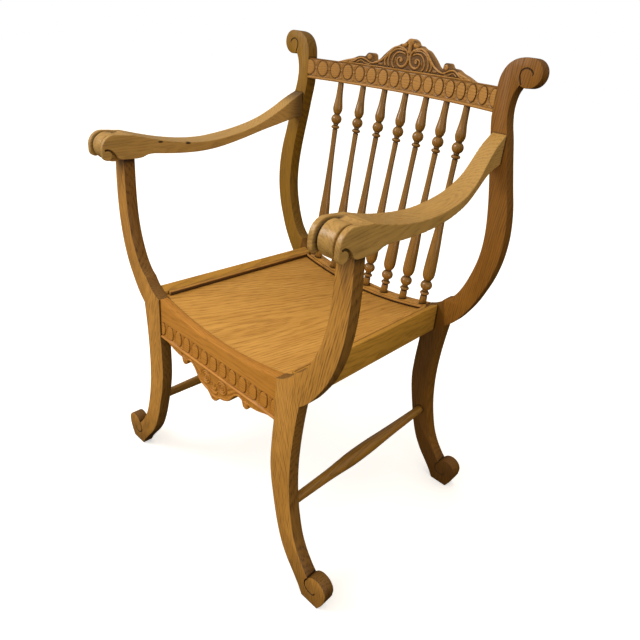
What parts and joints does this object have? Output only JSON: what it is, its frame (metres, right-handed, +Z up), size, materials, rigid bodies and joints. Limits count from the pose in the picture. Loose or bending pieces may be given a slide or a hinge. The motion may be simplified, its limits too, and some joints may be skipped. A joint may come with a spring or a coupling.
{
  "type": "dante armchair",
  "caption": "Golden oak Dante armchair about 1900, curved plank frames, scrolled arms and feet, carved crest rail, turned spindles and a dished wooden seat",
  "frame": {"origin": "on the floor under the middle of the chair's bounding box", "axes": "-Y is the front of the chair, +X is the right of a viewer who stands in front of it, +Z is up"},
  "size_m": [0.667, 0.555, 0.96],
  "materials": {
    "oak_frame": "satin",
    "oak_carved": "satin",
    "oak_seat": "satin",
    "oak_arms": "satin",
    "oak_turned": "satin",
    "birch": "matte"
  },
  "bodies": {
    "root": {"front_leg_left": "oak_frame", "front_leg_right": "oak_frame", "rear_leg_left": "oak_frame", "rear_leg_right": "oak_frame", "arm_support_left": "oak_frame", "arm_support_right": "oak_frame", "back_post_left": "oak_frame", "back_post_right": "oak_frame", "arm_left": "oak_arms", "arm_right": "oak_arms", "crest_rail": "oak_carved", "spindle_1": "oak_turned", "spindle_2": "oak_turned", "spindle_3": "oak_turned", "spindle_4": "oak_turned", "spindle_5": "oak_turned", "spindle_6": "oak_turned", "spindle_7": "oak_turned", "front_rail": "oak_carved", "rear_rail": "oak_frame", "side_rail_left": "oak_frame", "side_rail_right": "oak_frame", "seat_panel": "oak_seat", "seat_bead_left": "oak_turned", "seat_bead_right": "oak_turned", "seat_bead_rear": "oak_turned", "stretcher_left": "oak_turned", "stretcher_right": "oak_turned", "block_front_left": "birch", "block_front_right": "birch", "block_rear_left": "birch", "block_rear_right": "birch", "support_dowel_left_1": "birch", "support_dowel_left_2": "birch", "support_dowel_right_1": "birch", "support_dowel_right_2": "birch", "post_dowel_left_1": "birch", "post_dowel_left_2": "birch", "post_dowel_right_1": "birch", "post_dowel_right_2": "birch", "pad_dowel_left": "birch", "pad_dowel_right": "birch", "tail_dowel_left": "birch", "tail_dowel_right": "birch", "crest_dowel_left_1": "birch", "crest_dowel_left_2": "birch", "crest_dowel_right_1": "birch", "crest_dowel_right_2": "birch"}
  },
  "joints": []
}
